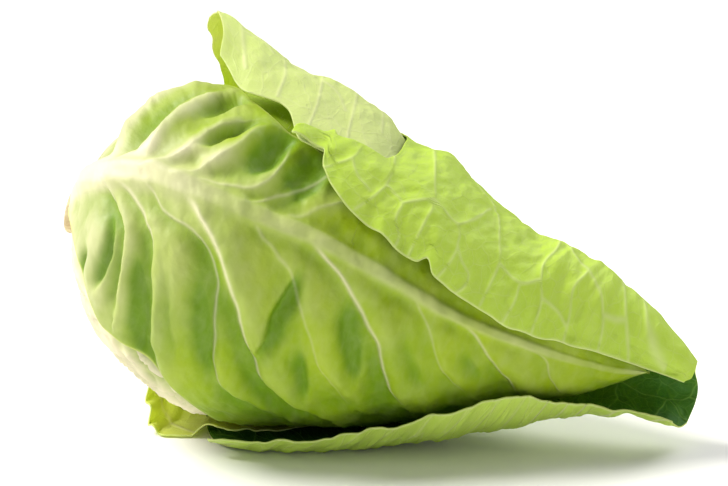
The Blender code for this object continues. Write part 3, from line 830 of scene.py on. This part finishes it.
def upper_wrapper():
    v, q = grid(220, 220)
    start = through([(0.0, 0.207), (0.05, 0.201), (0.10, 0.191), (0.15, 0.177), (0.20, 0.171),
                     (0.46, 0.176), (0.56, 0.15), (0.72, 0.02)], q)
    wavy = 0.005 * lattice(q * 22, q * 0 + 2.5, 105) * smooth((0.58 - q) / 0.1)
    start = np.maximum(start, 0.007) + wavy
    end = through([(0.0, 0.50), (0.5, 0.62), (1.0, 0.50)], q)
    S = spread(start, end, v)
    near = through([(0.19, 88), (0.26, 74), (0.325, 72), (0.37, 59), (0.50, 58)], S)
    near = near + 1.4 * lattice(arc(S) / 9, q * 0 + 1.5, 107) * smooth((0.33 - S) / 0.02)
    far = through([(0.0, 178), (0.15, 205), (0.6, 205)], S)
    PHI = near + (far - near) * q
    x = arc(S)
    height = through([(0.15, 1.0), (0.19, 1.0), (0.24, 0.62), (0.31, 0.30), (0.42, 0.28),
                      (0.48, 0.17), (0.54, 0.0)], S)
    rise_from = through([(0.22, 0), (0.40, 70)], S)
    rise_from = 0.5 * (near - 4 + rise_from + np.sqrt((near - 4 - rise_from) ** 2 + 260))
    foot = through([(0.18, 156), (0.24, 140), (0.30, 126), (0.42, 112)], S)
    ridge = smooth((PHI - rise_from) / (98 - rise_from)) * smooth((foot - PHI) / (foot - 98))
    near_lift = 0.30 * smooth((0.25 - S) / 0.06) * smooth((near + 12 - PHI) / 12)
    relief, rib_a, rib_b, pale = radiating(S, PHI, 158, 10, 111)
    margin = np.minimum(q, 1 - q) * (far - near) * MM_PER_DEGREE
    lift = UPPER_WRAPPER_LIFT + COLLAR_HEIGHT * (height * ridge + near_lift)
    lift = lift + relief * MM * 0.35 * smooth(margin / 10)
    rough = 0.0009 * noise(x, PHI, 14, 113) + 0.0005 * noise(x, PHI, 5, 114, 2)
    lift = lift + rough * smooth(height * ridge * 4)
    lift = lift - 0.0016 * smooth((S - 0.46) / 0.05) * smooth((PHI - 64) / 10)
    points = place(S, PHI, lift)
    behind = smooth((PHI - 116) / 20)
    rib_a[..., 1] *= behind
    rib_b[..., 1] *= 0.35 + 0.65 * behind
    pale = np.maximum(pale * behind, 0.38 * (1 - behind))
    veins, _ = vein_net(S, PHI, COLLAR_VEINS, 0.85, 0.75)
    veins[..., 1] *= 1 - behind
    fields = dressed(S, PHI, rib_a, rib_b, pale, 0.0, 0.6, margin, veins)
    sheet("upper_wrapper_blade", "upper_wrapper_leaf", points, fields,
          [hood_outer, frill, rim], WRAPPER_SHEET)


# The hood's two long margins as (station, angle), and its ends as (share across, station)
HOOD_NEAR = [(0.34, 59), (0.405, 58), (0.415, 51), (0.465, 42), (0.565, 32), (0.67, 23.5),
             (0.77, 18), (0.86, 20), (0.93, 22), (1.00, 20), (1.09, 12)]
HOOD_FAR = [(0.0, 236), (0.22, 244), (0.34, 303), (0.45, 309), (0.53, 313), (0.62, 319), (0.67, 325),
            (0.80, 335), (0.865, 329), (0.93, 317), (1.0, 310), (1.05, 307), (1.09, 296)]
HOOD_START = [(0.0, 0.352), (0.012, 0.353), (0.022, 0.364), (0.03, 0.392), (0.062, 0.416),
              (0.09, 0.447), (0.101, 0.476), (0.112, 0.497), (0.15, 0.508), (0.21, 0.505),
              (0.28, 0.44), (0.39, 0.24), (0.49, 0.05), (0.56, 0.007), (0.72, 0.007), (0.87, 0.12),
              (0.93, 0.33), (0.965, 0.372), (1.0, 0.338)]
HOOD_END = [(0.0, 1.046), (0.08, 1.056), (0.30, 1.060), (0.50, 1.064), (0.70, 1.080),
            (0.85, 1.074), (1.0, 1.046)]
# Height of the fold along the hood's top, as (station, share of HOOD_RIDGE)
RIDGE_HEIGHT = [(0.50, 0.0), (0.53, 0.04), (0.57, 0.24), (0.65, 0.05), (0.73, 0.05), (0.81, 0.45),
                (0.89, 0.76), (0.96, 0.76), (1.01, 0.64), (1.05, 0.30), (1.08, 0.0)]

# Veins of the folded part, as (station, angle) points
HOOD_VEINS = [
    [(0.50, 78), (0.51, 64), (0.51, 56), (0.50, 49), (0.48, 41)],
    [(0.51, 56), (0.54, 51), (0.54, 44), (0.555, 38), (0.55, 32)],
    [(0.54, 51), (0.56, 55), (0.582, 60)],
    [(0.55, 92), (0.57, 71), (0.584, 60), (0.58, 45), (0.576, 33)],
    [(0.584, 60), (0.61, 57), (0.63, 55), (0.64, 46), (0.633, 34), (0.62, 26)],
    [(0.63, 55), (0.65, 63), (0.67, 81)],
    [(0.62, 100), (0.65, 94), (0.68, 82), (0.70, 62), (0.71, 49), (0.706, 36), (0.70, 24)],
    [(0.71, 49), (0.75, 44), (0.78, 52)],
    [(0.75, 44), (0.75, 33), (0.74, 19)],
    [(0.79, 96), (0.79, 82), (0.776, 62), (0.78, 52), (0.79, 42), (0.79, 19)],
    [(0.79, 42), (0.82, 39), (0.84, 32)],
    [(0.80, 100), (0.82, 84), (0.85, 76), (0.877, 67), (0.893, 52), (0.90, 22)],
    [(0.85, 76), (0.834, 56), (0.84, 43), (0.843, 20)],
    [(0.892, 54), (0.91, 56), (0.928, 60)],
    [(0.91, 95), (0.928, 62), (0.943, 43), (0.95, 27)],
    [(0.95, 95), (0.966, 66), (0.99, 48), (1.01, 36)],
    [(0.46, 86), (0.455, 71), (0.448, 59), (0.43, 54), (0.41, 49)],
    [(0.448, 59), (0.466, 53), (0.49, 50)],
    [(0.64, 46), (0.655, 39), (0.668, 36), (0.668, 29), (0.655, 24)],
]


def hood():
    v, q = grid(345, 285)
    S = spread(through(HOOD_START, q), through(HOOD_END, q), v)
    x = arc(S)
    near = through(HOOD_NEAR, S)
    far = through(HOOD_FAR, S)
    ripple_near = 1.5 * lattice(x / 8, q * 0 + 4.5, 131) + 1.2 * lattice(x / 21, q * 0 + 4.5, 132)
    ripple_near = ripple_near + 4.0 * np.exp(-(((S - 0.602) / 0.009) ** 2))
    ripple_far = 2.4 * lattice(x / 12, q * 0 + 6.5, 133) + 1.2 * lattice(x / 5, q * 0 + 6.5, 134)
    PHI = near + (far - near) * q
    ripple_near = ripple_near * smooth((S - 0.40) / 0.05)
    PHI = PHI + ripple_near * smooth(1 - q / 0.14) + ripple_far * smooth((q - 0.93) / 0.07)
    under = smooth((PHI - 205) / 40)
    lift = HOOD_LIFT + (HOOD_UNDER_LIFT - HOOD_LIFT) * under
    ridge = smooth((PHI - near) / (100 - near)) * smooth((150 - PHI) / 50)
    lift = lift + HOOD_RIDGE * through(RIDGE_HEIGHT, S) * ridge
    curl = smooth((PHI - 262) / 26)
    flare = through([(0.25, 0.2), (0.35, 0.9), (0.5, 1.0), (0.62, 0.75), (0.80, 0.70), (1.0, 0.9)], S)
    lift = lift + (STRIP_LIFT - HOOD_UNDER_LIFT) * curl * flare
    closing = smooth((S - 1.0) / 0.08) * smooth((215 - PHI) / 80)
    hollow = smooth((S - 0.86) / 0.16) * (1.0 - 0.85 * closing)
    room = smooth((PHI - near) / 60) * (1.0 - 0.3 * curl)
    lift = lift + (HOOD_TIP_RADIUS - HOOD_LIFT) * hollow * np.maximum(room, 0.35) * (1.0 - 0.8 * ridge)
    relief, rib_a, rib_b, pale = radiating(S, PHI, 188, 11, 141)
    veins, away = vein_net(S, PHI, HOOD_VEINS, 0.80, 0.70)
    folded = 1 - smooth((PHI - 104) / 16)
    veins[..., 1] *= folded
    r = np.maximum(radius(S), 0.012) / MM
    margin = np.minimum(q, 1 - q) * np.radians(far - near) * r
    edge_wave = 0.9 * lattice(x / 7, q * 2, 151) + 0.9 * lattice(x / 16, q * 2, 152)
    edge_wave = np.exp(-((margin / 9) ** 2)) * edge_wave
    behind = smooth((PHI - 112) / 20)
    corner = smooth((S - 0.965) / 0.085) * smooth((1.092 - S) / 0.03) * smooth((PHI - 225) / 50)
    lift = lift + 0.0020 * corner
    lift = lift + relief * MM * 0.5 * smooth(margin / 10) * behind + edge_wave * MM
    quilt = 0.45 * np.exp(-((away / 1.7) ** 2)) - 0.5 * np.exp(-((away / 5.5) ** 2))
    lift = lift + quilt * MM * folded * smooth(margin / 3)
    y = np.radians(PHI) * r
    lift = lift + 0.0008 * noise(x, y, 15, 153) + 0.0004 * noise(x, y, 5.5, 154, 2) * smooth(margin / 3)
    points = place(S, PHI, lift)
    points[..., 2] = np.maximum(points[..., 2], HOOD_FLOOR)
    # Painted light: the curled strip along the floor is made paler, most of all at its left end, to
    # stand for light shining through it.
    pale = np.maximum(pale * behind, curl * (0.06 + 0.50 * smooth((0.38 - S) / 0.08)))
    rib_a[..., 1] *= behind
    rib_b[..., 1] *= behind
    fields = dressed(S, PHI, rib_a, rib_b, pale, 0.0, 1 - 0.9 * folded, margin, veins)
    sheet("hood_wrapper_blade", "hood_wrapper_leaf", points, fields,
          [hood_outer, hood_inner, rim], WRAPPER_SHEET)


lower_wrapper()
upper_wrapper()
hood()


# ---------------------------------------------------------------------------
# Stem stump and heart keep their CAD shapes and get their own surfaces
# ---------------------------------------------------------------------------
def matt(n, base, roughness, height, depth):
    """Close a material with one plain skin, whose bumps are depth metres tall."""
    skin = n.add("ShaderNodeBsdfPrincipled")
    n.link(base, skin.inputs["Base Color"])
    n.link(roughness, skin.inputs["Roughness"])
    lump = n.add("ShaderNodeBump")
    lump.inputs["Distance"].default_value = depth
    n.link(height, lump.inputs["Height"])
    n.link(lump.outputs["Normal"], skin.inputs["Normal"])
    out = n.add("ShaderNodeOutputMaterial")
    n.link(skin.outputs[0], out.inputs["Surface"])
    return n.material


def stem_material():
    n = Nodes("stem_cut_surface")
    where = n.add("ShaderNodeTexCoord").outputs["Object"]
    grain = n.noise(where, 900.0, 4.0, 0.6)
    spots = n.noise(where, 220.0, 3.0, 0.6, 0.4)
    base = n.mix(n.ramp(spots, [(0.35, 0.0), (0.7, 1.0)]), colour(224, 208, 160), colour(170, 132, 84))
    base = n.mix(n.maths("MULTIPLY", grain, 0.5), base, colour(236, 228, 190))
    roughness = n.maths("ADD", 0.55, n.maths("MULTIPLY", grain, 0.25))
    return matt(n, base, roughness, spots, 0.0006)


def heart_material():
    n = Nodes("packed_leaves_surface")
    where = n.add("ShaderNodeTexCoord").outputs["Object"]
    soft = n.noise(where, 60.0, 3.0)
    base = n.mix(n.ramp(soft, [(0.35, 0.0), (0.7, 1.0)]), colour(226, 230, 170), colour(176, 200, 96))
    roughness = n.maths("ADD", 0.4, n.maths("MULTIPLY", soft, 0.2))
    return matt(n, base, roughness, soft, 0.001)


for node, made in (("stem_stump", stem_material()), ("heart", heart_material())):
    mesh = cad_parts[node].data
    for i in range(len(mesh.materials)):
        mesh.materials[i] = made
    if not len(mesh.materials):
        mesh.materials.append(made)

# ---------------------------------------------------------------------------
# Floor, light and camera
# ---------------------------------------------------------------------------
FLOOR_HALF = 6
FLOOR_Z = -0.0002
FLOOR_COLOUR = (0.93, 0.925, 0.90, 1.0)
WORLD_POWER = 0.36
SUN_POWER = 4.3
SUN_COLOUR = (1.0, 0.98, 0.93)
SUN_FROM = (-0.70, -0.02, 0.78)
SUN_ANGLE = math.radians(24)
SOFTBOX_AIM = (0.0, 0.0, 0.06)
LENS_MM, SENSOR_MM = 85.0, 36.0

corners = [(x * FLOOR_HALF, y * FLOOR_HALF, 0) for x, y in ((-1, -1), (1, -1), (1, 1), (-1, 1))]
floor_mesh = bpy.data.meshes.new("floor")
floor_mesh.from_pydata(corners, [], [(0, 1, 2, 3)])
floor = bpy.data.objects.new("floor", floor_mesh)
floor.location.z = FLOOR_Z
bpy.context.scene.collection.objects.link(floor)
floor_nodes = Nodes("floor_surface")
floor_skin = floor_nodes.add("ShaderNodeBsdfPrincipled")
floor_skin.inputs["Base Color"].default_value = FLOOR_COLOUR
floor_skin.inputs["Roughness"].default_value = 0.6
floor_skin.inputs["Specular IOR Level"].default_value = 0.2
floor_out = floor_nodes.add("ShaderNodeOutputMaterial")
floor_nodes.link(floor_skin.outputs[0], floor_out.inputs["Surface"])
floor_mesh.materials.append(floor_nodes.material)

scene = bpy.context.scene
world = bpy.data.worlds.new("studio")
scene.world = world
world.use_nodes = True
background = world.node_tree.nodes["Background"]
background.inputs["Color"].default_value = (1.0, 1.0, 0.99, 1.0)
background.inputs["Strength"].default_value = WORLD_POWER


def aimed(light, where, aim):
    obj = bpy.data.objects.new(light.name, light)
    obj.location = where
    obj.rotation_euler = (Vector(aim) - Vector(where)).to_track_quat("-Z", "Y").to_euler()
    scene.collection.objects.link(obj)


def softbox(name, where, size, power):
    light = bpy.data.lights.new(name, "AREA")
    light.shape = "RECTANGLE"
    light.size, light.size_y = size
    light.energy = power
    aimed(light, where, SOFTBOX_AIM)


sun = bpy.data.lights.new("key", "SUN")
sun.energy = SUN_POWER
sun.color = SUN_COLOUR
sun.angle = SUN_ANGLE
aimed(sun, SUN_FROM, (0.0, 0.0, 0.0))
softbox("back_light", (0.55, 0.5, 0.85), (0.7, 0.7), 7.0)
softbox("front_fill", (-0.1, -0.9, 0.07), (1.4, 0.10), 1.5)

scene.view_settings.view_transform = "Standard"
scene.view_settings.look = "None"

# The camera aims at a place this far from the stem end, in metres along X and down
AIM_ALONG, AIM_DOWN = 0.11974, 0.0112
AZIMUTH, ELEVATION, DISTANCE = math.radians(10), math.radians(12), 0.6843
target = Vector((float(STEM[0]) + AIM_ALONG, float(STEM[1]), float(STEM[2]) - AIM_DOWN))
level = math.cos(ELEVATION)
away = Vector((math.sin(AZIMUTH) * level, -math.cos(AZIMUTH) * level, math.sin(ELEVATION)))
camera_data = bpy.data.cameras.new("camera")
camera_data.lens = LENS_MM
camera_data.sensor_width = SENSOR_MM
camera_data.clip_start = 0.05
camera = bpy.data.objects.new("camera", camera_data)
camera.location = target + away * DISTANCE
camera.rotation_euler = (-away).to_track_quat("-Z", "Y").to_euler()
scene.collection.objects.link(camera)
scene.camera = camera

bpy.context.view_layer.update()
